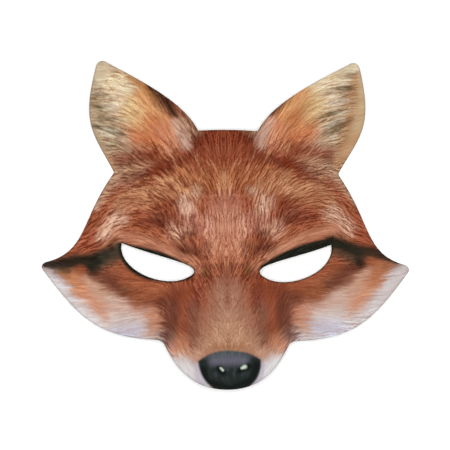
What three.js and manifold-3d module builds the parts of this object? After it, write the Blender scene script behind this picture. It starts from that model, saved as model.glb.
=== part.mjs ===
// A fox half mask: a sheet of soft white foam with a printed cloth face bonded to it, die-cut and
// then moulded hot into a muzzle, brows, cheeks and ears. It lies face up on its two side rims.
// Millimetres. +Z is out of the face, +Y is towards the ears, X = 0 is the middle of the face.
import * as THREE from "three";
import { mergeVertices } from "three/addons/utils/BufferGeometryUtils.js";
import Module from "manifold-3d";

const wasm = await Module();
wasm.setup();

// The bonded sheet
const CLOTH = 0.4; // thickness of the printed cloth
const GLUE = 0.05; // glue line between cloth and foam
const FOAM = 2.6; // thickness of the foam

// The moulded form: heights are above the plane of the side rims
const DOME = 34; // the face in its middle, without the muzzle
const NOTCH = { x: 75, y: 35 }; // where the ear meets the temple, on the rim plane
const CHEEK_TIP = { x: 120.8, y: -28 }; // the cheek's outer point, on the rim plane
const MUZZLE = { rise: 22, top: 2, full: -88, narrow: 15, wide: 31 };
const CHIN_TUCK = { from: -96, amount: 0.045, soft: 4 }; // the muzzle turns under below the nose
const CROWN_FALL = { from: 18, slope: 0.09, soft: 14 }; // the forehead leans back above this
const EAR_SPREAD = { slope: 1.35, soft: 4 }; // how fast the rim line spreads above the notch

// Soft moulded bumps: centre, half-lengths along and across, turn in degrees, and height
const BROW = { x: 43, y: -4, long: 34, wide: 9, turn: 17, rise: 5 };
const EYE_SOCKET = { x: 44, y: -27, long: 31, wide: 13, turn: 17, rise: -5 };
const CHEEK_BONE = { x: 66, y: -50, long: 30, wide: 16, turn: 12, rise: 4 };
const EAR_CUP = { x: 65, y: 74, long: 27, wide: 15, turn: 58, rise: -6 };
const EAR_ROOT = { x: 45, y: 41, long: 32, wide: 10, turn: 30, rise: 3.5 };
const NOSE = { x: 0, y: -94, long: 19, wide: 13, rise: 4.5, edge: 0.35 };
const NOSTRIL = { x: 7, y: -95, long: 3.6, wide: 2.8, turn: 0, rise: -1.6 };

// Flat pads inside the temples, where an elastic band is glued on
const PAD = { x: 85, y: -13, width: 15, height: 19, corner: 3, proud: 1.1, sunk: 1.4 };

// Fineness of the faceted solid
const GRID = 6.8;
const CUT_STEP = 6;
const MARGIN = 9; // how far the blank reaches past the outline

// The die line of the right half, from the crown to the nose: cubic curves, end to end
const OUTLINE = {
  crown: [[0, 62.1], [7, 62.1], [13, 61.9], [19.6, 61.4]],
  earInner: [[19.6, 61.4], [28.6, 81.1], [63.9, 97.3], [80, 106]],
  earTip: [[80, 106], [83.2, 107.7], [85.8, 105.5], [86.4, 103]],
  earOuter: [[86.4, 103], [96, 64.8], [87.7, 59.6], [74.3, 35.1]],
  notch: [[74.3, 35.1], [73.6, 33.9], [73.7, 33.5], [74.6, 32.3]],
  temple: [[74.6, 32.3], [95.5, 2], [91, -18.3], [117.6, -25.3]],
  cheekTip: [[117.6, -25.3], [120, -25.9], [121.6, -28.3], [120, -30.4]],
  cheek: [[120, -30.4], [96.1, -61.5], [85, -73.8], [46, -75.6]],
  muzzleRoot: [[46, -75.6], [43.2, -75.8], [41.3, -77], [40.3, -79.2]],
  muzzle: [[40.3, -79.2], [33.4, -93.4], [22.6, -107.6], [0, -107.6]],
};

// The right eye hole: a nearly straight lid, a round inner end and a full lower edge
const EYE = {
  lid: [[68.6, -12.4], [58.6, -17.1], [31.7, -23.3], [24.5, -27.2]],
  inner: [[24.5, -27.2], [21.8, -28.7], [19.2, -31.2], [24.5, -34]],
  lower: [[24.5, -34], [39.7, -43.5], [72.2, -30.3], [68.6, -12.4]],
};

// Height of the moulded form

const smoothstep = (t) => {
  const u = THREE.MathUtils.clamp(t, 0, 1);
  return u * u * (3 - 2 * u);
};

// A ramp that is 0 below zero and a straight line above, with a rounded knee of the given softness.
const softRamp = (t, soft) => (t + Math.hypot(t, soft)) / 2;

// A rounded bump on both halves of the face: a bell curve on an ellipse that may be turned.
function bump({ x, y, long, wide, turn, rise }, px, py) {
  const a = THREE.MathUtils.degToRad(turn);
  const dx = Math.abs(px) - x;
  const dy = py - y;
  const u = (dx * Math.cos(a) + dy * Math.sin(a)) / long;
  const v = (dy * Math.cos(a) - dx * Math.sin(a)) / wide;
  return rise * Math.exp(-(u * u + v * v));
}

// Half-width at which the dome comes down to the rim plane: narrowest at the notch, it spreads down
// to the cheek tip and up along the ear, which so stands off the head.
function rimLine(y) {
  const reach = (t) => Math.hypot(t, EAR_SPREAD.soft) - EAR_SPREAD.soft;
  const cheekSlope = (CHEEK_TIP.x - NOTCH.x) / reach(CHEEK_TIP.y - NOTCH.y);
  const slope = y < NOTCH.y ? cheekSlope : EAR_SPREAD.slope;
  return NOTCH.x + slope * reach(y - NOTCH.y);
}

// The ridge of the muzzle: it widens and rises from the brows to the nose, with a flat-topped
// cross-section, and turns under below the nose.
function muzzle(x, y) {
  const along = smoothstep((MUZZLE.top - y) / (MUZZLE.top - MUZZLE.full));
  const half = THREE.MathUtils.lerp(MUZZLE.narrow, MUZZLE.wide, along);
  const tuck = CHIN_TUCK.amount * softRamp(CHIN_TUCK.from - y, CHIN_TUCK.soft) ** 2;
  return (MUZZLE.rise * along) / (1 + Math.pow(x / half, 4)) - tuck;
}

// The nose pad: a low plateau on an ellipse with a soft edge.
function nose(x, y) {
  const r = Math.hypot((x - NOSE.x) / NOSE.long, (y - NOSE.y) / NOSE.wide);
  return NOSE.rise * smoothstep((1 + NOSE.edge - r) / (2 * NOSE.edge));
}

function faceHeight(x, y) {
  const { from, slope, soft } = CROWN_FALL;
  const middle = DOME - slope * softRamp(y - from, soft);
  const dome = middle * (1 - (x / rimLine(y)) ** 2);
  const bumps = [BROW, EYE_SOCKET, CHEEK_BONE, EAR_CUP, EAR_ROOT, NOSTRIL];
  return bumps.reduce((z, b) => z + bump(b, x, y), dome + muzzle(x, y) + nose(x, y));
}

// A point of the face moved into the sheet, square to its surface.
function intoSheet(x, y, depth) {
  const d = 0.5;
  const slopeX = (faceHeight(x + d, y) - faceHeight(x - d, y)) / (2 * d);
  const slopeY = (faceHeight(x, y + d) - faceHeight(x, y - d)) / (2 * d);
  const normal = new THREE.Vector3(-slopeX, -slopeY, 1).normalize();
  return new THREE.Vector3(x, y, faceHeight(x, y)).addScaledVector(normal, -depth);
}

// Solids

function solidOf(geometry) {
  const bare = geometry.clone();
  bare.deleteAttribute("normal");
  bare.deleteAttribute("uv");
  const merged = mergeVertices(bare, 1e-4);
  return new wasm.Manifold(
    new wasm.Mesh({
      numProp: 3,
      vertProperties: merged.attributes.position.array,
      triVerts: new Uint32Array(merged.index.array),
    }),
  );
}

function geometryOf(solid) {
  const mesh = solid.getMesh();
  const geometry = new THREE.BufferGeometry();
  geometry.setAttribute("position", new THREE.BufferAttribute(mesh.vertProperties, 3));
  geometry.setIndex(new THREE.BufferAttribute(mesh.triVerts, 1));
  geometry.computeVertexNormals();
  return geometry;
}

// Points along a chain of cubic curves, without the last one.
function trace(chain) {
  return Object.values(chain).flatMap((points) => {
    const curve = new THREE.CubicBezierCurve(...points.map((p) => new THREE.Vector2(...p)));
    const steps = Math.max(2, Math.round(curve.getLength() / CUT_STEP));
    return curve.getSpacedPoints(steps).slice(0, -1);
  });
}

const mirrored = (points) => points.map((p) => new THREE.Vector2(-p.x, p.y)).reverse();

// The die: a tall prism of the outline, with the two eye holes.
function die(height) {
  const half = trace(OUTLINE);
  const last = OUTLINE.muzzle.at(-1);
  const outline = [...half, new THREE.Vector2(...last), ...mirrored(half.slice(1))];
  const shape = new THREE.Shape(outline);
  const eye = trace(EYE);
  shape.holes = [new THREE.Path(eye), new THREE.Path(mirrored(eye))];
  return new THREE.ExtrudeGeometry(shape, { depth: height, bevelEnabled: false });
}

// A moulded blank between two depths in the sheet: a closed grid, not yet cut.
function blank(depthTop, depthBottom) {
  const columns = 2 * Math.ceil((CHEEK_TIP.x + MARGIN) / GRID);
  const low = -107.6 - MARGIN;
  const rows = Math.ceil((106 + MARGIN - low) / GRID);
  const points = [];
  for (const depth of [depthTop, depthBottom]) {
    for (let j = 0; j <= rows; j++) {
      for (let i = 0; i <= columns; i++) {
        points.push(...intoSheet((i - columns / 2) * GRID, low + j * GRID, depth));
      }
    }
  }
  const side = (columns + 1) * (rows + 1);
  const at = (i, j, layer) => layer * side + j * (columns + 1) + i;
  const faces = [];
  const quad = (a, b, c, d, other) =>
    other ? faces.push(a, b, d, b, c, d) : faces.push(a, b, c, a, c, d);
  for (let j = 0; j < rows; j++) {
    for (let i = 0; i < columns; i++) {
      const left = i < columns / 2;
      quad(at(i, j, 0), at(i + 1, j, 0), at(i + 1, j + 1, 0), at(i, j + 1, 0), left);
      quad(at(i, j, 1), at(i, j + 1, 1), at(i + 1, j + 1, 1), at(i + 1, j, 1), left);
    }
  }
  for (let i = 0; i < columns; i++) {
    quad(at(i, 0, 1), at(i + 1, 0, 1), at(i + 1, 0, 0), at(i, 0, 0));
    quad(at(i + 1, rows, 1), at(i, rows, 1), at(i, rows, 0), at(i + 1, rows, 0));
  }
  for (let j = 0; j < rows; j++) {
    quad(at(0, j + 1, 1), at(0, j, 1), at(0, j, 0), at(0, j + 1, 0));
    quad(at(columns, j, 1), at(columns, j + 1, 1), at(columns, j + 1, 0), at(columns, j, 0));
  }
  const geometry = new THREE.BufferGeometry();
  geometry.setAttribute("position", new THREE.Float32BufferAttribute(points, 3));
  geometry.setIndex(faces);
  return geometry;
}

// A rounded flat pad on the inside of one temple, its free face square to the sheet there.
function strapPad(side) {
  const { width, height, corner, proud, sunk } = PAD;
  const w = width / 2;
  const h = height / 2;
  const shape = new THREE.Shape()
    .moveTo(corner - w, -h)
    .lineTo(w - corner, -h)
    .absarc(w - corner, corner - h, corner, -Math.PI / 2, 0)
    .lineTo(w, h - corner)
    .absarc(w - corner, h - corner, corner, 0, Math.PI / 2)
    .lineTo(corner - w, h)
    .absarc(corner - w, h - corner, corner, Math.PI / 2, Math.PI)
    .lineTo(-w, corner - h)
    .absarc(corner - w, corner - h, corner, Math.PI, 1.5 * Math.PI);
  const geometry = new THREE.ExtrudeGeometry(shape, {
    depth: proud + sunk,
    bevelEnabled: false,
    curveSegments: 3,
  });
  const back = CLOTH + GLUE + FOAM;
  const inside = intoSheet(side * PAD.x, PAD.y, back + proud);
  const inward = intoSheet(side * PAD.x, PAD.y, back).sub(inside).normalize();
  geometry.applyQuaternion(
    new THREE.Quaternion().setFromUnitVectors(new THREE.Vector3(0, 0, 1), inward),
  );
  return geometry.translate(...inside);
}

// The parts

const dieSolid = solidOf(die(200).translate(0, 0, -60));
const cutSheet = (top, bottom) => solidOf(blank(top, bottom)).intersect(dieSolid);

const printedFace = cutSheet(0, CLOTH);
const foamShell = cutSheet(CLOTH + GLUE, CLOTH + GLUE + FOAM)
  .add(solidOf(strapPad(1)))
  .add(solidOf(strapPad(-1)));

const printedCloth = new THREE.MeshStandardMaterial({
  name: "printed_cloth",
  color: new THREE.Color(0.55, 0.24, 0.12),
  roughness: 0.75,
  metalness: 0,
});
const whiteFoam = new THREE.MeshStandardMaterial({
  name: "white_foam",
  color: new THREE.Color(0.86, 0.85, 0.82),
  roughness: 0.9,
  metalness: 0,
});

function part(name, solid, material) {
  const mesh = new THREE.Mesh(geometryOf(solid), material);
  mesh.name = name;
  return mesh;
}

const mask = new THREE.Group();
mask.add(part("printed_face", printedFace, printedCloth));
mask.add(part("foam_shell", foamShell, whiteFoam));

// Set the mask down centred on the origin: its lowest point is at height 0.
const box = new THREE.Box3().setFromObject(mask);
mask.position.set(0, -(box.min.y + box.max.y) / 2, -box.min.z);

export default mask;
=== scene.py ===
# A fox half mask for a grown wearer, lying face up on its side rims. It is one sheet of soft white foam
# with a thin cloth bonded to its front. The cloth is printed with a fox's fur, the sheet is cut with a
# die, and then it is pressed warm over a form that raises the muzzle, brows, cheeks and ears.
import math

import bpy
import numpy as np
from mathutils import Euler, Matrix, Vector
from mathutils.geometry import delaunay_2d_cdt


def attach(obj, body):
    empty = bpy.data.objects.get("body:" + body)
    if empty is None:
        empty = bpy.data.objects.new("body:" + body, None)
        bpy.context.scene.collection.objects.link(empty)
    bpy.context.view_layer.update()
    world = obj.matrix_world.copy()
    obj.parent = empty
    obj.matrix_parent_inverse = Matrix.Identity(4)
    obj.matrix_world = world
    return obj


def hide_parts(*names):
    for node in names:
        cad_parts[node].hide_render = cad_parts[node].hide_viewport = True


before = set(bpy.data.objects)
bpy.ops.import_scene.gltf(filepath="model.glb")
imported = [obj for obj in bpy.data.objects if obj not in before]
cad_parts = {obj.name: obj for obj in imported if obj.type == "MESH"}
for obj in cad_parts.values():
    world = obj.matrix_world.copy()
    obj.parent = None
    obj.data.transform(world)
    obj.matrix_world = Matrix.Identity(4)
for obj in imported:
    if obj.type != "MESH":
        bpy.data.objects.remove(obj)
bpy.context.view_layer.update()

# The foam shell
# White closed-cell foam, 2.6 mm thick, which gives the mask its body. It is bonded to the cloth, cut by
# the same die and moulded with it. Inside each temple it has a flat pad, where a band can be glued on.
# Sizes are in millimetres about the middle of the face and the plane of the side rims.
MM = 0.001
# The move from there to the place of the solids
SET_DOWN = np.array([0.0, 0.7064, 3.817])
CLOTH, GLUE, FOAM = 0.4, 0.05, 2.6
# The moulded form: the dome's height, the ear's notch and the cheek's tip on the rim plane, the muzzle,
# the tuck under the chin, the fall of the crown, the spread of the ears, and the pad of the nose
DOME = 34
NOTCH_X, NOTCH_Y = 75, 35
CHEEK_TIP_X, CHEEK_TIP_Y = 120.8, -28
MUZZLE_RISE, MUZZLE_TOP, MUZZLE_FULL, MUZZLE_NARROW, MUZZLE_WIDE = 22, 2, -88, 15, 31
CHIN_FROM, CHIN_TUCK, CHIN_SOFT = -96, 0.045, 4
CROWN_FROM, CROWN_SLOPE, CROWN_SOFT = 18, 0.09, 14
EAR_SPREAD, EAR_SOFT = 1.35, 4
NOSE_Y, NOSE_LONG, NOSE_WIDE, NOSE_RISE, NOSE_EDGE = -94, 19, 13, 4.5, 0.35
# x, y, half-lengths along and across, turn in degrees, and height of each soft bump
BUMPS = {
    "brow": (43, -4, 34, 9, 17, 5),
    "eye socket": (44, -27, 31, 13, 17, -5),
    "cheek bone": (66, -50, 30, 16, 12, 4),
    "ear cup": (65, 74, 27, 15, 58, -6),
    "ear root": (45, 41, 32, 10, 30, 3.5),
    "nostril": (7, -95, 3.6, 2.8, 0, -1.6),
}


def ease(t):
    """0 below 0 and 1 above 1, with three squares less two cubes of t between."""
    u = np.clip(t, 0, 1)
    return u * u * (3 - 2 * u)


def ramp(t, soft):
    """0 below zero and t above it, with a rounded knee: half of t plus the length of (t, soft)."""
    return (t + np.hypot(t, soft)) / 2


def rim_line(y):
    """Half-width at which the dome meets the rim plane: the notch's, and a straight spread up and down."""
    t = y - NOTCH_Y
    cheek = (CHEEK_TIP_X - NOTCH_X) / (np.hypot(CHEEK_TIP_Y - NOTCH_Y, EAR_SOFT) - EAR_SOFT)
    return NOTCH_X + np.where(t < 0, cheek, EAR_SPREAD) * (np.hypot(t, EAR_SOFT) - EAR_SOFT)


def face_height(x, y):
    """A parabola across from rim to rim, plus a flat-topped muzzle that rises and widens downwards, less
    its tuck under the chin, plus a plateau for the nose and a bell curve for each bump."""
    dome = (DOME - CROWN_SLOPE * ramp(y - CROWN_FROM, CROWN_SOFT)) * (1 - (x / rim_line(y)) ** 2)
    along = ease((MUZZLE_TOP - y) / (MUZZLE_TOP - MUZZLE_FULL))
    half = MUZZLE_NARROW + (MUZZLE_WIDE - MUZZLE_NARROW) * along
    tuck = CHIN_TUCK * ramp(CHIN_FROM - y, CHIN_SOFT) ** 2
    muzzle = MUZZLE_RISE * along / (1 + (x / half) ** 4) - tuck
    r = np.hypot(x / NOSE_LONG, (y - NOSE_Y) / NOSE_WIDE)
    height = dome + muzzle + NOSE_RISE * ease((1 + NOSE_EDGE - r) / (2 * NOSE_EDGE))
    for bx, by, long, wide, turn, rise in BUMPS.values():
        c, s = math.cos(math.radians(turn)), math.sin(math.radians(turn))
        u = ((np.abs(x) - bx) * c + (y - by) * s) / long
        v = ((y - by) * c - (np.abs(x) - bx) * s) / wide
        height = height + rise * np.exp(-u * u - v * v)
    return height


def face_normal(x, y, span=0.5):
    """The unit normal, from the rise over a short span on either side."""
    slope_x = (face_height(x + span, y) - face_height(x - span, y)) / (2 * span)
    slope_y = (face_height(x, y + span) - face_height(x, y - span)) / (2 * span)
    normal = np.stack([-slope_x, -slope_y, np.ones_like(slope_x)], axis=-1)
    return normal / np.linalg.norm(normal, axis=-1, keepdims=True)


# The die line of the right half and the right eye hole: cubic curves, end to end
DIE = {
    "crown": [(0, 62.1), (7, 62.1), (13, 61.9), (19.6, 61.4)],
    "ear, inner side": [(19.6, 61.4), (28.6, 81.1), (63.9, 97.3), (80, 106)],
    "ear tip": [(80, 106), (83.2, 107.7), (85.8, 105.5), (86.4, 103)],
    "ear, outer side": [(86.4, 103), (96, 64.8), (87.7, 59.6), (74.3, 35.1)],
    "notch": [(74.3, 35.1), (73.6, 33.9), (73.7, 33.5), (74.6, 32.3)],
    "temple": [(74.6, 32.3), (95.5, 2), (91, -18.3), (117.6, -25.3)],
    "cheek tip": [(117.6, -25.3), (120, -25.9), (121.6, -28.3), (120, -30.4)],
    "cheek": [(120, -30.4), (96.1, -61.5), (85, -73.8), (46, -75.6)],
    "muzzle root": [(46, -75.6), (43.2, -75.8), (41.3, -77), (40.3, -79.2)],
    "muzzle": [(40.3, -79.2), (33.4, -93.4), (22.6, -107.6), (0, -107.6)],
}
EYE = {
    "lid": [(68.6, -12.4), (58.6, -17.1), (31.7, -23.3), (24.5, -27.2)],
    "inner end": [(24.5, -27.2), (21.8, -28.7), (19.2, -31.2), (24.5, -34)],
    "lower edge": [(24.5, -34), (39.7, -43.5), (72.2, -30.3), (68.6, -12.4)],
}
CUT_STEP = 0.65


def cut_line(curves, step=CUT_STEP):
    """Points at even steps along a chain of cubic Bezier curves, without the last one."""
    t = np.linspace(0, 1, 400)[:, None]
    parts = []
    for a, b, c, d in np.array(list(curves.values()), float):
        curve = (1 - t) ** 3 * a + 3 * (1 - t) ** 2 * t * b + 3 * (1 - t) * t ** 2 * c + t ** 3 * d
        run = np.concatenate([[0], np.cumsum(np.linalg.norm(np.diff(curve, axis=0), axis=1))])
        at = np.linspace(0, run[-1], max(2, round(run[-1] / step)) + 1)[:-1]
        parts.append(np.stack([np.interp(at, run, curve[:, 0]), np.interp(at, run, curve[:, 1])], axis=1))
    return np.concatenate(parts)


half_line = cut_line(DIE)
eye_line = cut_line(EYE)
chin = np.array([DIE["muzzle"][-1]], float)
flip = np.array([-1, 1])
# Clockwise from the crown, as the die is traced, so the outline is turned to run the other way
outline = np.concatenate([half_line, chin, (half_line[1:] * flip)[::-1]])[::-1]
rims = [outline, eye_line[::-1], eye_line * flip]


def past_line(points, loop, chunk=2000):
    """Distance from each point to a closed line, and whether the point is inside it, by the nearest of its
    straight steps and by the number of steps that a level ray crosses. Points are taken in chunks."""
    start, step = loop, np.roll(loop, -1, axis=0) - loop
    length = (step ** 2).sum(axis=1)
    distance, inside = np.empty(len(points)), np.empty(len(points), bool)
    for first in range(0, len(points), chunk):
        away = points[first:first + chunk, None] - start
        t = np.clip((away * step).sum(axis=2) / length, 0, 1)
        near = np.hypot(away[..., 0] - t * step[:, 0], away[..., 1] - t * step[:, 1])
        distance[first:first + chunk] = near.min(axis=1)
        crossed = (away[..., 1] >= 0) != (away[..., 1] >= step[:, 1])
        slant = away[..., 0] * step[:, 1] - away[..., 1] * step[:, 0]
        crossed &= (slant < 0) == (step[:, 1] > 0)
        inside[first:first + chunk] = crossed.sum(axis=1) % 2 == 1
    return distance, inside


# The outline of one half is closed this far past the middle, where no edge is near
PAST_MIDDLE = 9


def from_cut(points):
    """Distance in from the nearest cut edge, negative off the sheet. Both halves are cut alike."""
    half = np.stack([np.abs(points[:, 0]), points[:, 1]], axis=1)
    beyond = np.array([PAST_MIDDLE, 0])
    closed = np.concatenate([half_line, chin, chin - beyond, half_line[:1] - beyond])
    edge, on_sheet = past_line(half, closed)
    hole, in_hole = past_line(half, eye_line)
    return np.where(on_sheet & ~in_hole, 1, -1) * np.minimum(edge, hole)


def honeycomb(step, half_width=122, bottom=-109, top=109):
    """Points of a honeycomb: rows 0.866 of a step apart, with every other row moved by half a step."""
    rows = np.arange(bottom, top, step * math.sqrt(3) / 2)
    columns = np.arange(0, half_width, step)
    x, y = np.meshgrid(columns, rows)
    x = x + (np.arange(len(rows)) % 2)[:, None] * step / 2
    points = np.stack([x.ravel(), y.ravel()], axis=1)
    return np.concatenate([points, points[points[:, 0] > 0] * flip])


# The rings of points inside each rim, the share of its distance that a ring's point must keep from any
# other rim, and the gap between the last ring and the grids
EDGE_RINGS = (0.25, 0.6, 1.05, 1.6)
RING_KEEPS = 0.97
GRID_GAP = 0.4


def plan(*grids):
    """The cut sheet seen from above: the rims, rings of points along their insides, and the grids' points
    that are clear of them, joined into triangles. Returns the points, their distance from the cut and the
    triangles."""
    rings, wanted = [], []
    for rim in rims:
        ahead = np.roll(rim, -1, axis=0) - np.roll(rim, 1, axis=0)
        inward = np.stack([-ahead[:, 1], ahead[:, 0]], axis=1) / np.linalg.norm(ahead, axis=1)[:, None]
        rings += [rim + inward * reach for reach in EDGE_RINGS]
        wanted += [np.full(len(rim), reach) for reach in EDGE_RINGS]
    rings = np.concatenate(rings)
    ring_edge = from_cut(rings)
    kept = ring_edge > np.concatenate(wanted) * RING_KEEPS
    rim_points = np.concatenate(rims)
    inner = np.concatenate(grids)
    inner_edge = from_cut(inner)
    clear = inner_edge > EDGE_RINGS[-1] + GRID_GAP
    points = np.concatenate([rim_points, rings[kept], inner[clear]])
    cut = np.concatenate([np.zeros(len(rim_points)), ring_edge[kept], inner_edge[clear]])
    steps, end = [], 0
    for rim in rims:
        start, end = end, end + len(rim)
        steps += [(i, i + 1 if i + 1 < end else start) for i in range(start, end)]
    triangles = np.array(delaunay_2d_cdt(points.tolist(), steps, [], 0, 1e-7, False)[2])
    # A triangle between rim points alone may lie across a hole or a notch
    doubtful = np.flatnonzero((triangles < len(rim_points)).all(axis=1))
    off_sheet = doubtful[from_cut(points[triangles[doubtful]].mean(axis=1)) < 0]
    return points, cut, np.delete(triangles, off_sheet, axis=0)


# The die and the press round the edge: how far it drops at the front and rises at the back, over what
# width, and the span over which the sheet's slope is taken
EDGE_DROP, BACK_RISE, EDGE_WIDTH = 1.0, 0.35, 1.7
SLOPE_SPAN = 1.5


def layer(sheet, depth, drop=EDGE_DROP):
    """A level of the sheet at a depth under the printed face. Near the cut it sinks by a quarter of an
    ellipse, or rises if the drop is negative. Depths are square to the face, so they are divided by the
    upright part of its normal."""
    points, cut, _ = sheet
    x, y = points.T
    sink = drop * (1 - np.sqrt(1 - np.clip(1 - cut / EDGE_WIDTH, 0, 1) ** 2))
    upright = face_normal(x, y, SLOPE_SPAN)[:, 2]
    return np.stack([x, y, face_height(x, y) - (depth + sink) / upright], axis=1)


def joined(front, front_faces, back, back_faces):
    """A closed skin: the front, the back turned over, and a wall of triangles along each rim."""
    count = len(front)
    walls, start = [], 0
    for rim in rims:
        a = np.arange(start, start + len(rim))
        b = np.roll(a, -1)
        walls += [np.stack([a, a + count, b + count], axis=1), np.stack([a, b + count, b], axis=1)]
        start += len(rim)
    faces = np.concatenate([front_faces, back_faces[:, ::-1] + count, *walls])
    return np.concatenate([front, back]), faces


# Edges that turn more than this many degrees stay sharp
SHARP_OVER = 45


def piece(name, points, faces):
    """A smooth mesh object from points in millimetres."""
    mesh = bpy.data.meshes.new(name)
    mesh.from_pydata(((points + SET_DOWN) * MM).tolist(), [], faces.tolist())
    mesh.validate()
    mesh.shade_smooth()
    mesh.set_sharp_from_angle(angle=math.radians(SHARP_OVER))
    made = bpy.data.objects.new(name, mesh)
    bpy.context.scene.collection.objects.link(made)
    return made


PAD_X, PAD_Y = 85, -13
PAD_WIDTH, PAD_HEIGHT, PAD_CORNER = 15, 19, 3
PAD_PROUD, PAD_SUNK = 1.1, 1.4
PAD_ROLL, PAD_FLAT_RIM = 0.5, 0.06


def strap_pad(side, around=64, down=6):
    """A flat pad with round corners and a rolled edge: a rounded rectangle, the same all the way down but
    drawn in by a quarter circle at its free face, closed at both ends. It stands square to the sheet."""
    turn = np.linspace(0, 2 * math.pi, around, endpoint=False)
    corner = np.stack([np.sign(np.cos(turn)) * (PAD_WIDTH / 2 - PAD_CORNER),
                       np.sign(np.sin(turn)) * (PAD_HEIGHT / 2 - PAD_CORNER)], axis=1)
    roll = np.linspace(0, math.pi / 2, down)
    inset = np.concatenate([[PAD_ROLL + PAD_FLAT_RIM], PAD_ROLL * (1 - np.sin(roll)), [0]])
    depth = np.concatenate([[0], PAD_ROLL * (1 - np.cos(roll)), [PAD_PROUD + PAD_SUNK]])
    outward = np.stack([np.cos(turn), np.sin(turn)], axis=1)
    ring = corner + outward * (PAD_CORNER - inset)[:, None, None]
    levels = np.broadcast_to(depth[:, None, None], ring.shape[:2] + (1,))
    points = np.concatenate([ring, levels], axis=2).reshape(-1, 3)
    rows, columns = ring.shape[:2]
    i, j = np.meshgrid(np.arange(rows - 1), np.arange(columns), indexing="ij")
    a, b = i * columns + j, i * columns + (j + 1) % columns
    sides = np.concatenate([np.stack([a, a + columns, b], axis=-1).reshape(-1, 3),
                            np.stack([b, a + columns, b + columns], axis=-1).reshape(-1, 3)])
    fan = np.arange(1, columns - 1)
    top = np.stack([np.zeros_like(fan), fan, fan + 1], axis=1)
    faces = np.concatenate([sides, top, top[:, ::-1] + (rows - 1) * columns])
    into = face_normal(np.array([side * PAD_X]), np.array([PAD_Y]))[0]
    place = np.array([side * PAD_X, PAD_Y, float(face_height(side * PAD_X, PAD_Y))])
    place = place - into * (CLOTH + GLUE + FOAM + PAD_PROUD)
    # The turn that takes upright to the way into the sheet
    axis = np.cross([0, 0, 1], into)
    cross = np.array([[0, -axis[2], axis[1]], [axis[2], 0, -axis[0]], [-axis[1], axis[0], 0]])
    turned = np.eye(3) + cross + cross @ cross / (1 + into[2])
    return points @ turned.T + place, faces


# The back has an even grid. The foam's hidden front has a coarser one, with a finer patch under the nose.
BACK_STEP, INNER_STEP, NOSE_STEP, NOSE_PATCH = 1.7, 3.2, 1.1, 15
back_plan = plan(honeycomb(BACK_STEP))
coarse = honeycomb(INNER_STEP)
patch = honeycomb(NOSE_STEP, NOSE_PATCH, NOSE_Y - NOSE_PATCH, NOSE_Y + NOSE_PATCH)
coarse_in_patch = np.hypot(coarse[:, 0], coarse[:, 1] - NOSE_Y) < NOSE_PATCH
patch_in_patch = np.hypot(patch[:, 0], patch[:, 1] - NOSE_Y) < NOSE_PATCH
inner_plan = plan(coarse[~coarse_in_patch], patch[patch_in_patch])
foam_front = layer(inner_plan, CLOTH + GLUE)
foam_back = layer(back_plan, CLOTH + GLUE + FOAM, -BACK_RISE)
foam_points, foam_faces = joined(foam_front, inner_plan[2], foam_back, back_plan[2])
for side in (-1, 1):
    pad_points, pad_faces = strap_pad(side)
    foam_faces = np.concatenate([foam_faces, pad_faces + len(foam_points)])
    foam_points = np.concatenate([foam_points, pad_points])
moulded_foam = piece("moulded_foam", foam_points, foam_faces)


class Wire:
    """A value or colour on its way through a finish. Python's signs add Math nodes."""

    def __init__(self, finish, socket):
        self.finish, self.socket = finish, socket

    def math(self, operation, *values):
        return self.finish.node("ShaderNodeMath", {"operation": operation}, dict(enumerate(values)))

    def __add__(self, other):
        return self.math("ADD", self, other)

    def __sub__(self, other):
        return self.math("SUBTRACT", self, other)

    def __rsub__(self, other):
        return self.math("SUBTRACT", other, self)

    def __mul__(self, other):
        return self.math("MULTIPLY", self, other)

    __radd__ = __add__
    __rmul__ = __mul__

    def sine(self):
        return self.math("SINE", self)


class Finish:
    """A material in the making, with one Principled shader that takes its steady values at the start."""

    def __init__(self, name, **steady):
        self.material = bpy.data.materials.new(name)
        self.material.use_nodes = True
        self.tree = self.material.node_tree
        self.shader = self.tree.nodes["Principled BSDF"]
        for socket, value in steady.items():
            self.shader.inputs[socket.replace("_", " ")].default_value = value

    def node(self, kind, settings=None, values=None, output=0):
        """Adds a node, sets it up, gives its sockets their values or wires, and returns one output."""
        node = self.tree.nodes.new(kind)
        for name, value in (settings or {}).items():
            setattr(node, name, value)
        for socket, value in (values or {}).items():
            if isinstance(value, Wire):
                self.tree.links.new(value.socket, node.inputs[socket])
            else:
                node.inputs[socket].default_value = value
        return Wire(self, node.outputs[output])

    def blend(self, factor, first, second):
        """Two colours mixed by a factor. A Mix node has its colours on sockets 6, 7 and output 2."""
        return self.node("ShaderNodeMix", {"data_type": "RGBA"}, {0: factor, 6: first, 7: second}, 2)

    def vector(self, operation, values):
        return self.node("ShaderNodeVectorMath", {"operation": operation}, values)

    def feed(self, socket, wire):
        self.tree.links.new(wire.socket, self.shader.inputs[socket])


FOAM_WHITE, FOAM_SHADE = (0.86, 0.85, 0.82, 1), (0.79, 0.77, 0.73, 1)


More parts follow.
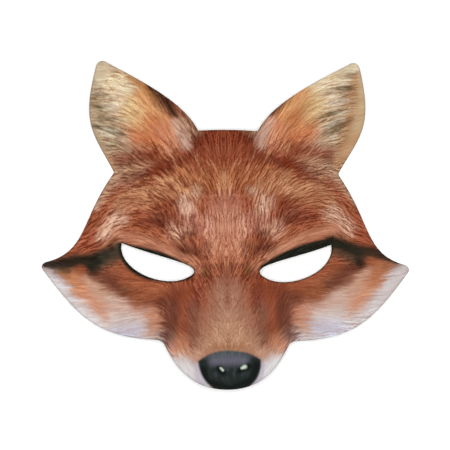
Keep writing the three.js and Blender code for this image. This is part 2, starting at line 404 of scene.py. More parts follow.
def white_foam():
    """Matt white foam: faint warm clouding two centimetres across, and a skin that is dented by round cells
    0.4 mm wide and by a softer grain of 1 mm."""
    foam = Finish("white_foam", Specular_IOR_Level=0.25)
    place = foam.node("ShaderNodeTexCoord", output="Object")
    cloud = foam.node("ShaderNodeTexNoise", {}, {"Vector": place, "Scale": 55, "Detail": 4})
    cells = foam.node("ShaderNodeTexVoronoi", {"feature": "SMOOTH_F1"}, {
        "Vector": place, "Scale": 2600, "Smoothness": 0.4})
    grain = foam.node("ShaderNodeTexNoise", {}, {"Vector": place, "Scale": 900, "Detail": 2})
    foam.feed("Base Color", foam.blend(cloud * 0.7 + cells * 0.25, FOAM_WHITE, FOAM_SHADE))
    foam.feed("Roughness", 0.82 + cloud * 0.16)
    foam.feed("Normal", foam.node("ShaderNodeBump", {}, {
        "Strength": 0.6, "Distance": 0.00012, "Height": cells * 0.7 + grain * 0.5}))
    return foam.material


moulded_foam.data.materials.append(white_foam())
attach(moulded_foam, "root")
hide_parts("foam_shell")

# The printed face
# Fine, close polyester cloth, 0.4 mm thick, bonded to the foam before the cut. The fur is colour only,
# printed flat, and it sits a little off the middle and turned against the cut.
FRONT_STEP = 0.68
cloth_plan = plan(honeycomb(FRONT_STEP))
cloth_front = layer(cloth_plan, 0)
cloth_back = layer(inner_plan, CLOTH)
cloth_points, cloth_faces = joined(cloth_front, cloth_plan[2], cloth_back, inner_plan[2])
printed_cloth = piece("printed_cloth", cloth_points, cloth_faces)

# The share of a point's height by which the print lies aside of it, the print's turn and its shift
PRINT_LEAN = 0.0321
PRINT_TURN = math.radians(1.97)
PRINT_SHIFT = np.array([0.17, -0.23])


def print_place(points):
    """Where a point of the face lies on the flat print: moved sideways with its height, turned and
    shifted."""
    c, s = math.cos(PRINT_TURN), math.sin(PRINT_TURN)
    x = points[:, 0] + PRINT_LEAN * points[:, 2]
    return np.stack([x * c + points[:, 1] * s, points[:, 1] * c - x * s], axis=1) + PRINT_SHIFT


# The hair of the print lies as these guide hairs do, and most like the nearest. Each is a place on the
# half face and an angle in degrees, 90 up and 0 outwards.
GUIDE_HAIRS = np.array([
    (0, 60, 90), (0, 30, 90), (0, 0, 90), (0, -20, 90), (0, -50, 90), (0, -80, 90), (17, 28, 63),
    (8, 41, 70), (30, 42, 57), (40, 29, 50), (50, 21, 28), (56, 31, 0), (66, 12, -6), (78, 5, -48),
    (88, -12, -32), (77, -6, -50), (51, -5, 22), (63, 1, 2), (28, 8, 92), (14, 0, 88), (14, -13, 85),
    (10, -63, 62), (14, -50, 66), (20, -76, 50), (34, -56, 82), (30, -36, 84), (30, -79, 60),
    (96, -33, 2), (99, -43, 8), (112, -33, 20), (70, -56, -3), (50, -63, -10), (70, -40, 0),
    (49, -43, -10), (109, -25, 12), (83, -20, 5), (34, 55, 62), (50, 65, 45), (64, 63, 18),
    (66, 71, 16), (76, 75, 12), (86, 88, 3), (79, 101, 8), (58, 51, 34), (77, 46, 3), (43, 51, 54),
    (70, 33, -8), (45, 33, 18), (43, 82, 62), (25, 65, 60), (24, -25, 35), (50, -25, 20),
    (40, -18, 30),
], float)
# How near a guide hair's pull is full, how far the hair is tousled in blots of what size, the width of
# the parting, and the steps of the walk along a hair
GUIDE_NEAR = 7
TOUSLED, TOUSLED_BLOT = math.radians(14), 4.5
PARTING = 1.5
HAIR_STEP, HAIR_STEPS = 0.75, 11


def mottle(places, size, seed):
    """Smooth random blots of a size: random numbers on a square lattice, eased from each to the next."""
    table = np.random.default_rng(seed).random((256, 256))
    cell = np.floor(places / size).astype(int)
    tx, ty = ease(places / size - cell).T
    x, y = cell.T % 256
    right, up = (x + 1) % 256, (y + 1) % 256
    low = table[x, y] * (1 - tx) + table[right, y] * tx
    high = table[x, up] * (1 - tx) + table[right, up] * tx
    return low * (1 - ty) + high * ty


def hair_lie(half):
    """The unit direction of the hair on the half face: the guides' angles averaged by one over the fourth
    power of distance, tousled a little in blots, and turned upright at the parting in the middle."""
    apart = (half[:, :1] - GUIDE_HAIRS[:, 0]) ** 2 + (half[:, 1:] - GUIDE_HAIRS[:, 1]) ** 2
    pull = 1 / (apart + GUIDE_NEAR ** 2) ** 2
    angle = np.radians(pull @ GUIDE_HAIRS[:, 2] / pull.sum(axis=1))
    angle += TOUSLED * (mottle(half, TOUSLED_BLOT, 6) * 2 - 1)
    lie = np.stack([np.cos(angle) * np.tanh(half[:, 0] / PARTING), np.sin(angle)], axis=1)
    return lie / np.linalg.norm(lie, axis=1, keepdims=True)


def hair_paths(half):
    """The places reached by walking from each place down and up its hair in short steps."""
    ways = []
    for way in (-1, 1):
        line = [half]
        for _ in range(HAIR_STEPS):
            line.append(line[-1] + way * HAIR_STEP * hair_lie(line[-1]))
        ways.append(line)
    return np.array(ways)


# How far along the lattice of random numbers the hairs of the other half start
OTHER_HAIRS = 57.3


def combed(paths, own, width, length, seed):
    """Blots of a width, averaged along the hair for a length, so that they become strands. The result has
    mean 0 and spread 1. Where own is 1, the half face has strands of its own."""
    reach = max(1, round(length / 2 / HAIR_STEP))
    steps = np.concatenate([paths[0, reach:0:-1], paths[1, :reach + 1]])
    steps += OTHER_HAIRS * np.round(own)[:, None]
    strands = mottle(steps.reshape(-1, 2), width, seed).reshape(steps.shape[:-1]).mean(axis=0)
    return (strands - strands.mean()) / strands.std()


def slid(paths, distance):
    """Each place moved along its hair by a distance."""
    k = np.clip(np.abs(distance) / HAIR_STEP, 0, HAIR_STEPS - 0.001)
    low = k.astype(int)
    way, each = (distance > 0).astype(int), np.arange(len(distance))
    part = (k - low)[:, None]
    return paths[way, low, each] * (1 - part) + paths[way, low + 1, each] * part


def brushed(places, stroke, soft):
    """1 under the stroke of a round brush and 0 away from it, eased over the soft share of the brush's
    radius. The stroke is a chain of straight steps, and each of its places gives x, y and the radius."""
    spots = np.array(stroke, float).reshape(-1, 3)
    reach = np.full(len(places), np.inf)
    for a, b in zip(spots, spots[1:] if len(spots) > 1 else spots):
        step = b[:2] - a[:2]
        t = np.clip((places - a[:2]) @ step / max(step @ step, 1e-9), 0, 1)
        gap = np.linalg.norm(places - a[:2] - t[:, None] * step, axis=1)
        reach = np.minimum(reach, gap / (a[2] + (b[2] - a[2]) * t))
    return 1 - ease((reach - 1 + soft) / (2 * soft))


# The dyes, as they look on a colour chart
DYES = {
    "rust": (160, 88, 60), "maroon": (116, 50, 30), "henna": (124, 52, 30), "suede": (146, 112, 80),
    "wheat": (226, 202, 166), "sepia": (98, 38, 25), "umber": (110, 60, 46),
    "chestnut": (136, 66, 43), "brick": (156, 80, 56), "mauve": (128, 68, 60),
    "rosewood": (164, 94, 78), "salmon": (200, 134, 106), "apricot": (206, 136, 106),
    "rose": (203, 142, 121), "tan": (190, 142, 114), "straw": (204, 153, 112),
    "toffee": (174, 114, 72), "fawn": (190, 132, 97), "oat": (192, 152, 128),
    "shell": (208, 164, 144), "cream": (210, 162, 138), "olive": (112, 80, 50), "moss": (134, 88, 58),
    "tobacco": (134, 84, 64), "orange": (212, 142, 106), "pumpkin": (200, 128, 84),
    "pearl": (216, 203, 203), "lavender": (198, 187, 204), "soot": (34, 34, 27),
    "smoke": (70, 60, 48), "linen": (206, 178, 150), "ash": (216, 200, 172), "gold": (224, 184, 132),
    "ginger": (222, 158, 108), "copper": (200, 110, 70), "bronze": (168, 110, 64),
    "dust": (170, 130, 106), "stone": (176, 136, 112), "blush": (226, 186, 166), "bark": (82, 70, 46),
    "ink": (48, 28, 20), "snow": (234, 216, 198), "khaki": (202, 168, 130), "hatch": (170, 122, 102),
    "arch": (170, 114, 84), "plum": (200, 186, 204), "nose black": (38, 44, 42),
    "nose grey": (94, 98, 102), "nose shine": (112, 108, 124), "nostril": (20, 24, 24),
    "glint": (206, 216, 200), "milk": (232, 222, 224), "unprinted": (222, 220, 216),
}
# The picture is exposed a little past white, so the dyes are that much deeper than they look
PAST_WHITE = 1.3


def dye(name):
    """A dye's colour as light, from its value on a colour chart."""
    chart = np.array(DYES[name]) / 255
    return np.where(chart <= 0.04045, chart / 12.92, ((chart + 0.055) / 1.055) ** 2.4) / PAST_WHITE


def laid(colour, name, mask):
    """A dye laid over the colours, as thickly as the mask says."""
    return colour + (dye(name) - colour) * mask[:, None]


# The broad areas of the coat, one group for each part of the face: the halves that it is on, how far its
# edges break up along the hair, how soft they are, and its strokes. A stroke is a dye, its strength, and
# the places and radii of the brush.
BOTH, LEFT, RIGHT = (1, 1), (1, 0), (0, 1)
COAT = {
    "crown": (BOTH, 1.5, 1.0, [
        ("maroon", 1, (0, 56, 11), (24, 54, 10)),
        ("sepia", 0.45, (15, 58, 5), (22, 51, 5)),
        ("olive", 0.4, (17, 61, 4)),
        ("brick", 0.6, (17, 46, 5)),
        ("chestnut", 0.85, (0, 41, 9), (16, 41, 8)),
        ("stone", 0.6, (67, 38, 3), (76, 35, 3)),
        ("toffee", 0.5, (58, 40, 3), (66, 40, 3)),
        ("sepia", 0.6, (62, 45, 4), (68, 44, 4)),
    ]),
    "forehead": (BOTH, 1.5, 1.0, [
        ("brick", 0.7, (0, 18, 12), (13, 17, 10)),
        ("toffee", 0.3, (0, 30, 8), (11, 29, 7)),
        ("straw", 0.4, (0, 31, 3), (0, 25, 2)),
        ("toffee", 0.35, (20, 25, 7), (29, 33, 7)),
        ("fawn", 0.65, (29, 22, 7), (40, 28, 5.6)),
        ("oat", 0.7, (18, 22, 3.6)),
        ("fawn", 0.75, (44, 20, 6), (60, 23, 5), (76, 18, 5)),
        ("fawn", 0.55, (50, 15, 3.4), (60, 12.5, 3.6)),
        ("rust", 0.7, (77, 11, 4), (84, 1, 5)),
        ("fawn", 0.6, (69, 15, 4.4)),
    ]),
    "arch": (BOTH, 1.0, 0.9, [
        ("sepia", 0.95, (22, 47, 4), (30, 44.5, 4.6), (41, 39.5, 4.2), (50, 36, 3)),
        ("henna", 1, (41, 39.5, 3), (50, 35.5, 4.6), (60, 30.5, 4.4), (66, 27.5, 3)),
        ("brick", 0.8, (66, 27.5, 3), (73, 20, 2.6), (79, 11, 2.4)),
        ("oat", 0.65, (75, 31, 3.6), (86, 13, 2.4)),
    ]),
    "brow": (BOTH, 1.2, 1.0, [
        ("chestnut", 0.9, (33, 14, 6), (42, 11, 5.4)),
        ("cream", 0.7, (24, -1, 4), (25, 8, 5.4), (26, 15, 5)),
        ("shell", 0.5, (24, 9, 3.4), (27, 15, 3)),
        ("brick", 0.85, (34, 2, 6), (54, 6, 6)),
        ("umber", 0.7, (36, 3, 4.5), (46, 6, 4.5)),
        ("sepia", 0.5, (43, 2, 2.5), (56, 2.5, 3)),
        ("brick", 0.4, (33, 2, 3.6)),
        ("cream", 0.65, (33, -4, 5)),
        ("rosewood", 0.7, (16, -1, 5), (23, 3, 4)),
        ("umber", 0.7, (21, -6, 2.4), (28, -7, 2.4)),
        ("brick", 0.8, (86, -3, 7), (93, -12, 7)),
        ("cream", 0.85, (70, 6, 5), (76, 0, 4.6), (81, -5.5, 3.8)),
        ("salmon", 0.9, (72, -4, 3.2), (50, -10.5, 3.2), (31, -20, 3.2)),
    ]),
    "middle": (BOTH, 1.0, 1.0, [
        ("rose", 0.65, (0, 7, 10), (0, -6, 10), (8, 0, 8)),
        ("apricot", 0.7, (0, -12, 10), (0, -24, 8)),
        ("umber", 0.85, (20, -17, 4), (28, -15, 4.6)),
        ("umber", 0.6, (12.5, -13, 2), (12.5, -27, 2)),
        ("chestnut", 0.9, (0, -34, 8), (11, -34, 7)),
        ("umber", 0.5, (0, -27, 1.4), (10, -28, 1.4)),
        ("salmon", 0.8, (27, -21.5, 2.6), (20, -26, 3), (18, -29.5, 2.2)),
        ("olive", 0.7, (14.5, -31, 3)),
        ("umber", 0.7, (20, -35, 2.6)),
    ]),
    "muzzle": (BOTH, 0.8, 1.0, [
        ("hatch", 0.9, (0, -46, 10), (0, -60, 13)),
        ("tan", 0.9, (0, -69, 10), (0, -78, 14)),
        ("hatch", 0.8, (18, -60, 5), (19, -75, 5)),
        ("brick", 0.75, (22, -38, 7), (24, -60, 8)),
        ("mauve", 0.75, (20, -44, 3.4), (22, -58, 3.2)),
        ("tobacco", 0.8, (23, -58, 5), (25, -76, 5)),
        ("umber", 0.9, (34, -46, 5), (36, -66, 6)),
        ("moss", 0.6, (36, -72, 4)),
        ("brick", 0.7, (29.5, -46, 2.6), (29.5, -70, 2.6)),
        ("apricot", 0.7, (31, -78, 5), (35, -82, 6)),
        ("cream", 0.8, (20, -85, 4), (32, -85, 4)),
        ("tan", 0.6, (0, -76, 10), (14, -80, 6)),
        ("arch", 0.7, (0, -80, 2.4), (9, -80.5, 2.4)),
        ("chestnut", 0.35, (0, -38, 2.4), (0, -54, 2)),
    ]),
    "cheek": (BOTH, 1.2, 1.0, [
        ("rust", 0.9, (50, -44, 6), (62, -39, 6), (71, -32, 5)),
        ("chestnut", 0.8, (22, -42, 5), (35, -46, 5)),
        ("pearl", 0.97, (124, -27, 5), (115, -34, 8), (105, -47, 11), (94, -60, 13), (80, -70, 13),
         (62, -75, 13), (50, -76, 9)),
        ("pumpkin", 0.9, (108, -28.5, 3), (102, -32.5, 4.6), (97, -39, 4.6)),
        ("orange", 0.85, (96, -40, 4.6), (91, -46, 5), (84, -53, 5.4), (78, -58, 4.6)),
        ("cream", 0.85, (92, -33.5, 3), (88, -37, 4.4), (80, -44, 5), (68, -51, 5)),
        ("pearl", 0.3, (76, -48, 4), (66, -53, 4)),
        ("rosewood", 0.6, (51, -53, 4)),
        ("shell", 0.7, (76, -55, 5), (66, -58, 6), (54, -59, 6)),
        ("pearl", 0.6, (74, -60, 5), (60, -63, 5)),
        ("umber", 0.92, (85, -29, 5), (75, -36, 5.4), (66, -42, 3.8)),
        ("chestnut", 0.3, (62, -46, 5), (46, -49, 5.5)),
        ("moss", 0.3, (66, -41, 4), (54, -47, 4)),
        ("lavender", 0.8, (60, -70, 5.4), (72, -70, 5)),
        ("tan", 0.6, (50, -69, 4)),
        ("salmon", 0.7, (47, -57, 4.6), (47, -64, 4.6)),
        ("umber", 0.85, (44, -50, 5), (39, -52, 6), (39, -62, 4.4), (41, -74, 4)),
    ]),
    # Painted light: the milk stroke whitens the left cheek, which lies in more light than the right; the
    # rust stroke is the print's
    "left cheek": (LEFT, 1.2, 1.0, [
        ("milk", 0.6, (114, -34, 3), (105, -47, 5), (90, -62, 6)),
        ("rust", 0.6, (70, -34, 3), (60, -40, 3.6), (46, -43, 3.6)),
    ]),
    # Painted shade: rust deepens the orange by the right cheek's tip, which lies in less light than the
    # left
    "right cheek": (RIGHT, 1.2, 1.0, [("rust", 0.5, (103, -31, 4), (96, -39, 4.6))]),
    "ear": (BOTH, 0.9, 1.0, [
        ("linen", 1, (82, 100, 18), (82, 74, 24), (74, 54, 18)),
        ("ash", 0.5, (82, 103, 10)),
        ("suede", 0.5, (86, 90, 4), (82, 78, 7), (76, 62, 8), (72, 54, 6)),
        ("bark", 0.75, (85, 67, 1), (76, 64.5, 1.9), (66, 61, 1)),
        ("bark", 0.6, (82, 73, 1), (74, 71, 1.4), (64, 69, 0.8)),
        ("bark", 0.45, (85, 80, 1), (76, 79, 1.2), (68, 77, 1)),
        ("bark", 0.5, (86, 88, 1), (79, 87, 1.6), (73, 86, 1)),
        ("bark", 0.4, (88, 96, 1), (83, 96, 1.3)),
        ("gold", 0.8, (57, 70, 6), (59, 76, 9), (65, 90, 8)),
        ("pumpkin", 0.7, (46, 62, 7), (57, 62, 6)),
        ("ginger", 0.9, (41, 60, 8), (46, 76, 8), (52, 87, 5)),
        ("copper", 0.7, (40, 61, 7), (46, 68, 5)),
        ("wheat", 0.7, (72, 97, 5), (60, 91, 4)),
        ("snow", 0.4, (66, 89, 5), (71, 80, 5)),
        ("bronze", 0.75, (60, 97, 1.4), (52, 92, 2), (42, 83, 4)),
        ("copper", 0.65, (43, 56, 6), (56, 57, 5)),
        ("chestnut", 0.85, (25, 48, 5), (46, 48, 5), (70, 44, 6)),
        ("dust", 0.85, (20, 62, 4), (25, 72, 4)),
        ("blush", 0.6, (25, 53, 3.4), (28, 60, 4), (31, 67, 3)),
        ("apricot", 0.7, (34, 53, 5), (40, 62, 5)),
    ]),
    "ear rim": (RIGHT, 0.2, 1.0, [
        ("bronze", 0.45, (43, 64, 5), (54, 77, 5)),
        ("bronze", 0.6, (88, 94, 3), (85.5, 76, 4.4), (82, 60, 4.4), (78, 49, 3.4)),
        ("khaki", 0.9, (94, 92, 4.4), (94.5, 72, 5.6), (89, 57, 5)),
    ]),
    "ear root": (BOTH, 0.2, 1.0, [("straw", 0.75, (87, 55, 3), (79, 43, 4.4), (75, 37, 3.4))]),
    "ear edge": (BOTH, 0.4, 1.0, [
        ("umber", 0.75, (33, 75, 3.6), (38, 81, 4.6)),
        ("ink", 0.85, (31, 72, 1.6), (35, 79.4, 3.2), (40, 85.4, 3.4), (47, 91.4, 2)),
    ]),
    "left stripe": (LEFT, 0.5, 0.6, [
        ("umber", 0.35, (112, -29, 3), (105, -30, 3)),
        ("smoke", 0.85, (84, -22, 6), (72, -16, 7)),
        ("soot", 0.95, (118.5, -23.4, 2.2), (106, -23, 5), (97, -20.6, 3.8), (88, -21.6, 5),
         (80, -18.4, 3.4)),
        ("smoke", 0.7, (80, -18.4, 3.4), (71, -16, 3.4)),
        ("olive", 0.5, (112, -27, 1.8), (104, -27.4, 2)),
    ]),
    "right stripe": (RIGHT, 0.5, 0.6, [
        ("umber", 0.35, (112, -29, 3), (105, -30, 3)),
        ("smoke", 0.8, (84, -22, 6), (72, -16, 7)),
        ("soot", 0.9, (112, -27, 2), (104, -23.5, 3), (96, -20.4, 3.6), (86, -19.6, 4.2),
         (79, -16.6, 3.4), (70, -13.5, 3)),
    ]),
    "eye stripe": (BOTH, 0.6, 0.8, [
        ("soot", 0.85, (88, -27, 3.6)),
        ("soot", 0.4, (78, -17, 3), (71, -13, 3)),
    ]),
    "jaw": (BOTH, 0.5, 0.5, [
        ("milk", 0.97, (42, -91, 7), (31, -95, 8.4), (20, -102, 10)),
        ("plum", 0.7, (20, -93, 3), (18, -103, 3.4)),
    ]),
}
# How strongly and how long the fine hairs are drawn, brushed on in the same way
HAIR_DEPTH = [
    (0.8, 1.0, (0, 50, 20), (20, 40, 30)),
    (0.72, 1.0, (0, 20, 22), (60, 20, 15)),
    (0.5, 0.8, (0, 10, 11), (0, -14, 11)),
    (0.35, 1.4, (72, -4, 4), (50, -10.5, 4), (31, -20, 4)),
    (0.45, 1.3, (75, 80, 30), (60, 60, 12)),
    (0.3, 1.2, (42, 62, 8), (55, 86, 9)),
    (0.35, 1.2, (26, 52, 5), (32, 68, 6)),
    (0.65, 1.0, (25, 46, 6), (70, 45, 6)),
    (0.15, 1.2, (80, 104, 8)),
    (0.1, 1.2, (93, 95, 5), (94, 75, 6), (80, 44, 5)),
    (0.25, 0.5, (0, -55, 20), (0, -80, 36)),
    (0.3, 1.3, (30, -45, 9), (32, -70, 10)),
    (0.32, 1.3, (70, -33, 8), (45, -46, 7)),
    (0.18, 1.6, (56, -64, 14), (108, -38, 20)),
    (0.1, 0.8, (0, -97, 16), (24, -97, 13)),
    (0.25, 1.0, (70, -18, 5), (112, -24, 5)),
]
# Elsewhere they have this strength. Everywhere it is patchy: the share of it that is always there, the
# most that blots add to that share, and the size of the blots
HAIR_PLAIN = 0.8
PATCHY_LEAST, PATCHY_MORE, PATCHY_BLOT = 0.6, 0.8, 6.0
# Hairs of one dye picked out in a part of the coat: the dye, its strength, the strands that carry it, how
# far from the mean they begin, over what range they fill, and how soft the part is and where
PICKED_OUT = [
    ("bark", 0.7, "dark streaks", 0.4, 1.4, 0.7, (82, 95, 4), (77, 79, 8.5), (73, 61, 8)),
    ("snow", 0.4, "pale streaks", 0.3, 1.4, 0.7, (82, 95, 4), (77, 79, 8.5), (73, 61, 8)),
    ("fawn", 0.5, "strands", 0.8, 1.2, 0.6, (0, 30, 16), (30, 30, 16), (60, 25, 12)),
    ("shell", 0.45, "strands", 0.4, 1.2, 0.7, (0, 9, 11), (0, -6, 11)),
    ("fawn", 0.6, "strands", 0.6, 1.2, 0.7, (30, 49, 6), (64, 50, 6)),
]
# How much a strand tells in red, green and blue
STRAND_TINT = [0.10, 0.14, 0.16]

# The inked lids and the nose: closed loops of cubic curves. The lids are wider than the eye holes, so
# that the cut leaves an uneven rim of ink.
INKED_LIDS = {
    "upper": [(70.3, -9.5), (62, -12.6), (45, -12.4), (23, -27)],
    "inner": [(23, -27), (20.6, -29.2), (20.2, -33), (24.5, -35.2)],
    "lower": [(24.5, -35.2), (40, -39.8), (73.2, -35.6), (70.3, -9.5)],
}
LID_SOFT = 2.4
NOSE = {
    "top left": [(0.5, -82.2), (-9, -81.8), (-14, -84.2), (-20.2, -88.5)],
    "left": [(-20.2, -88.5), (-20, -97), (-14.5, -109.6), (0, -109.6)],
    "right": [(0, -109.6), (16, -109.6), (21.5, -98), (20.8, -88.8)],
    "top right": [(20.8, -88.8), (15, -84.2), (10, -82.8), (0.5, -82.2)],
}
NOSE_SOFT = 1.6
# On the nose's black: how far down its grey top reaches and over what range it fades, the band of shine,
# the speckles, and the other strokes, each with its dye, its strength, how soft it is and its places
GREY_FROM, GREY_FADE = -89, 5
NOSE_SHINE = [(-10, -88.8, 3), (10, -88.8, 3)]
NOSE_SPECKLES = [(-8, -97, 5), (8, -97, 5)]
NOSE_STROKES = [
    ("nostril", 0.8, 0.8, (-17, -94, 2), (-15, -102, 2.5), (0, -107, 1.6)),
    ("nostril", 0.8, 0.8, (18, -92, 2), (15, -102, 2.5), (0, -107, 1.6)),
    ("nostril", 0.9, 0.6, (-6.6, -94, 2.2), (-4, -96.5, 2)),
    ("nostril", 0.9, 0.6, (7, -95.5, 2), (12.6, -92.6, 2)),
    ("glint", 1, 0.6, (-5.6, -93.4, 0.6), (-4.2, -94.9, 0.7)),
    ("glint", 1, 0.6, (8.2, -93.8, 0.8), (10.2, -93, 1.2)),
]
# Painted shade where the edge turns down: darker ink just inside a cut, over a width, most in a box about
# the eye
EDGE_PAINTED_SHADE, EYE_PAINTED_SHADE, PAINTED_SHADE_WIDTH = 0.2, 0.75, 1.0
EYE_MIDDLE, EYE_REACH = (45, -25), (30, 17)


def within_loop(places, curves, soft):
    """1 inside a closed loop of curves and 0 outside, eased over a width of soft millimetres."""
    apart, inside = past_line(places, cut_line(curves, 1.0))
    return ease(0.5 + np.where(inside, 1, -1) * apart / soft)


def nose_colour(places):
    """The nose's own colours: black, mottled downwards, with a grey top, a band of shine under it, grey
    speckles, dark flanks, and a dark nostril with a glint on either side."""
    grain = mottle(places * [1, 0.35], 1.1, 7)
    colour = np.tile(dye("nose black"), (len(places), 1))
    colour = laid(colour, "nose grey", ease((places[:, 1] - GREY_FROM) / GREY_FADE) * (0.5 + 0.4 * grain))
    colour = laid(colour, "nose shine", 0.75 * brushed(places, NOSE_SHINE, 1.0))
    colour = laid(colour, "nose grey", 0.35 * ease(grain - 0.3) * brushed(places, NOSE_SPECKLES, 0.7))
    for name, strength, soft, *stroke in NOSE_STROKES:
        colour = laid(colour, name, strength * brushed(places, stroke, soft))
    return colour


def fur_print(places, half, own, depth, length):
    """The printed colours: broad areas with edges feathered along the hair, strands of light and dark,
    hairs of one dye picked out, then the inked lids, the nose, and painted shade that darkens the rims."""
    paths = hair_paths(half)
    # Strands of each kind: how wide and how long they are, and their seed
    short = combed(paths, own, 0.9, 3, 3)
    middling = combed(paths, own, 1.1, 7, 2)
    long = combed(paths, own, 1.4, 15, 1)
    lock = combed(paths, own, 3.4, 13, 4)
    ragged = combed(paths, own, 1.0, 6, 5)
    colour = np.tile(dye("rust"), (len(places), 1))
    for (left, right), feather, soft, strokes in COAT.values():
        moved = slid(paths, ragged * feather)
        on_half = np.where(places[:, 0] < 0, left, right)
        for name, strength, *stroke in strokes:
            colour = laid(colour, name, strength * on_half * brushed(moved, stroke, soft))
    # Long strands tell the more, the longer the hair is drawn there
    fine = (long * np.clip(length - 0.7, 0, 0.7) + middling * 0.6 + short * 0.3) * 0.9 + lock * 0.8
    colour = colour * np.exp((fine * depth + lock * 0.2)[:, None] * STRAND_TINT)
    # Long strands and locks together, brought back to spread 1
    streak = (long + 0.7 * lock) / 1.22
    strands = {"dark streaks": -streak, "pale streaks": streak, "strands": middling}
    for name, strength, kind, begin, over, soft, *stroke in PICKED_OUT:
        picked = brushed(half, stroke, soft) * ease((strands[kind] - begin) / over)
        colour = laid(colour, name, strength * picked)
    colour = laid(colour, "soot", within_loop(half, INKED_LIDS, LID_SOFT))
    colour += (nose_colour(places) - colour) * within_loop(places, NOSE, NOSE_SOFT)[:, None]
    # Painted shade: darker ink just inside each cut, where the edge turns down, darkest round the eye holes
    by_eye = (np.abs(half - EYE_MIDDLE) < EYE_REACH).all(axis=1)
    painted_shade = np.where(by_eye, EYE_PAINTED_SHADE, EDGE_PAINTED_SHADE) * (1 - ease(cloth_plan[1] / PAINTED_SHADE_WIDTH))
    return colour * (1 - painted_shade)[:, None]


def cloth_attribute(name, kind, field, front, back):
    """Keeps values on the cloth's points: those of its front, then one plain value for its hidden back."""
    values = np.concatenate([front, np.tile(back, (len(cloth_back), 1))])
    attribute = printed_cloth.data.attributes.new(name, kind, "POINT")
    attribute.data.foreach_set(field, np.ascontiguousarray(values, dtype=float).ravel())


# The two halves are alike in a band down the middle. Over a few millimetres outside it, the left half
# goes over to hairs of its own, from a deeper layer of the noise and another part of the blots.
ALIKE, GOES_OVER = 13, 5
OWN_DEPTH, OWN_BLOTS = 10, 200
places = print_place(cloth_front)
half = np.stack([np.abs(places[:, 0]), places[:, 1]], axis=1)
own = ease((-places[:, 0] - ALIKE) / GOES_OVER)
depth, length = np.full(len(places), HAIR_PLAIN), np.ones(len(places))
for deep, far, *stroke in HAIR_DEPTH:
    mask = brushed(half, stroke, 0.4)
    depth, length = depth + (deep - depth) * mask, length + (far - length) * mask
patchy = mottle(half + OWN_BLOTS * own[:, None], PATCHY_BLOT, 8)
depth = depth * (PATCHY_LEAST + PATCHY_MORE * patchy)
fur = fur_print(places, half, own, depth, length)
opaque, level = np.ones(len(places)), np.zeros(len(places))
cloth_attribute("fur", "FLOAT_COLOR", "color", np.column_stack([fur, opaque]), [*dye("unprinted"), 1])
cloth_attribute("hair_place", "FLOAT_VECTOR", "vector",
                np.column_stack([half, own * OWN_DEPTH]) * MM, [0, 0, 0])
cloth_attribute("hair_lie", "FLOAT_VECTOR", "vector",
                np.column_stack([hair_lie(half) * length[:, None], level]) * MM, [0, 0, 0])
cloth_attribute("hair_depth", "FLOAT", "value", depth[:, None], [0])

# The weave's pitch across and along, in metres, the shades on either side of the print's own colour, how
# strongly the hairs go over to them, and where between the two their mean lies
WARP, WEFT = 0.00055, 0.00045
DEEPER, PALER = (0.56, 0.40, 0.35), (1.52, 1.8, 1.82)
STRAND_GAIN, STRAND_LEVEL = 1.65, 0.45


def printed_fur():
    """Fine matt cloth: the print's broad colours, hairs drawn along their lie as noise that is averaged
    over a few steps of it, each place a blend of a deeper and a paler shade, and a close weave."""
    cloth = Finish("printed_cloth", Specular_IOR_Level=0.02)
    colour = cloth.node("ShaderNodeAttribute", {"attribute_name": "fur"}, output="Color")
    drawn = cloth.node("ShaderNodeAttribute", {"attribute_name": "hair_place"}, output="Vector")
    lie = cloth.node("ShaderNodeAttribute", {"attribute_name": "hair_lie"}, output="Vector")
    contrast = cloth.node("ShaderNodeAttribute", {"attribute_name": "hair_depth"}, output="Fac")

    def hairs(step, steps, fineness):
        """Noise averaged over steps along the lie, a step being a share of its length, spread to 0..1."""
        total = None
        for k in range(-steps, steps + 1):
            spot = cloth.vector("ADD", {0: drawn, 1: cloth.vector("SCALE", {0: lie, "Scale": k * step})})
            noise = cloth.node("ShaderNodeTexNoise", {}, {"Vector": spot, "Scale": fineness, "Detail": 0})
            total = noise if total is None else total + noise
        count = 2 * steps + 1
        spread = 0.12 * count ** 0.5
        return cloth.node("ShaderNodeMapRange", {}, {
            "Value": total, "From Min": count / 2 - spread, "From Max": count / 2 + spread})

    # Fine, middling and coarse hairs, from noise 0.6, 0.9 and 1.4 mm across
    strand = hairs(0.4, 3, 1800) * 0.2 + hairs(0.5, 3, 1150) * 0.45 + hairs(0.6, 4, 720) * 0.35
    strand = (strand - 0.5) * (contrast * STRAND_GAIN) + STRAND_LEVEL
    deeper = cloth.vector("MULTIPLY", {0: colour, 1: DEEPER})
    paler = cloth.vector("MULTIPLY", {0: colour, 1: PALER})
    cloth.feed("Base Color", cloth.blend(strand, deeper, paler))
    place = cloth.node("ShaderNodeTexCoord", output="Object")
    across = cloth.node("ShaderNodeSeparateXYZ", {}, {0: place}, "X") * (2 * math.pi / WARP)
    along = cloth.node("ShaderNodeSeparateXYZ", {}, {0: place}, "Y") * (2 * math.pi / WEFT)
    weave = across.sine() * along.sine()
    cloth.feed("Roughness", 0.78 + weave * 0.06)
    cloth.feed("Normal", cloth.node("ShaderNodeBump", {}, {
        "Strength": 0.3, "Distance": 0.00004, "Height": weave + strand * 0.3}))
    return cloth.material


printed_cloth.data.materials.append(printed_fur())
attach(printed_cloth, "root")
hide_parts("printed_face")

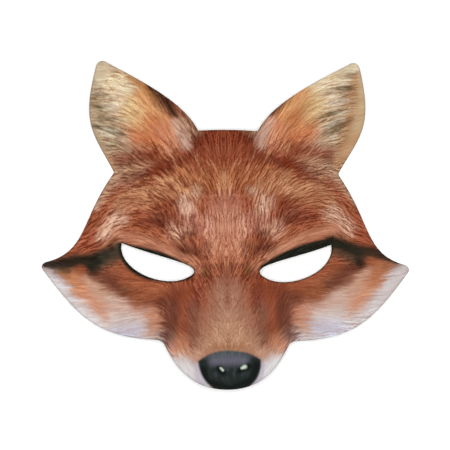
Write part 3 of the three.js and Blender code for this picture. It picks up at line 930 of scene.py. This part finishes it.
# The table, the light and the camera
# A plain white table under the mask, lit from high above by a wide lamp and evenly from all round, so
# that the table shows white through the eye holes, and a camera that looks down on it. Sizes here are in
# metres.
TABLE = 6.0
corners = np.array([(-1, -1, 0), (1, -1, 0), (1, 1, 0), (-1, 1, 0)]) * TABLE / 2
table_mesh = bpy.data.meshes.new("table")
table_mesh.from_pydata(corners.tolist(), [], [(0, 1, 2, 3)])
table = bpy.data.objects.new("table", table_mesh)
bpy.context.scene.collection.objects.link(table)
white = Finish("white_table", Base_Color=(0.93, 0.93, 0.93, 1), Roughness=0.9, Specular_IOR_Level=0.1)
table_mesh.materials.append(white.material)

ALL_ROUND = 0.35
world = bpy.data.worlds.new("studio")
world.use_nodes = True
world.node_tree.nodes["Background"].inputs["Color"].default_value = (1, 1, 1, 1)
world.node_tree.nodes["Background"].inputs["Strength"].default_value = ALL_ROUND
bpy.context.scene.world = world

# The lamp hangs over the camera's side of the table, so that the shadows fall under the mask
LAMP_HEIGHT, LAMP_SIDE = 6.0, -0.19
LAMP_WIDTH, LAMP_WATTS = 1.2, 335
lamp_data = bpy.data.lights.new("lamp", "AREA")
lamp_data.shape = "DISK"
lamp_data.size = LAMP_WIDTH
lamp_data.energy = LAMP_WATTS
lamp = bpy.data.objects.new("lamp", lamp_data)
lamp.location = (LAMP_SIDE, 0, LAMP_HEIGHT)
lamp.rotation_euler = (0, math.atan2(LAMP_SIDE, LAMP_HEIGHT), 0)
bpy.context.scene.collection.objects.link(lamp)

# The camera leans towards the left ear's side and is turned a little about its own line of sight
CAMERA_DISTANCE = 8.0
CAMERA_TURN = Euler((0, math.radians(-1.84), math.radians(0.47)))
LOOKS_AT = Vector((-0.0005, 0.0006, 0.0038))
VIEW_WIDTH = 0.2954
SENSOR = 36
camera_data = bpy.data.cameras.new("camera")
camera_data.sensor_width = SENSOR
camera_data.lens = SENSOR * CAMERA_DISTANCE / VIEW_WIDTH
camera_data.clip_end = 20
camera = bpy.data.objects.new("camera", camera_data)
camera.location = LOOKS_AT + CAMERA_TURN.to_matrix() @ Vector((0, 0, CAMERA_DISTANCE))
camera.rotation_euler = CAMERA_TURN
bpy.context.scene.collection.objects.link(camera)
bpy.context.scene.camera = camera
bpy.context.scene.view_settings.view_transform = "Standard"
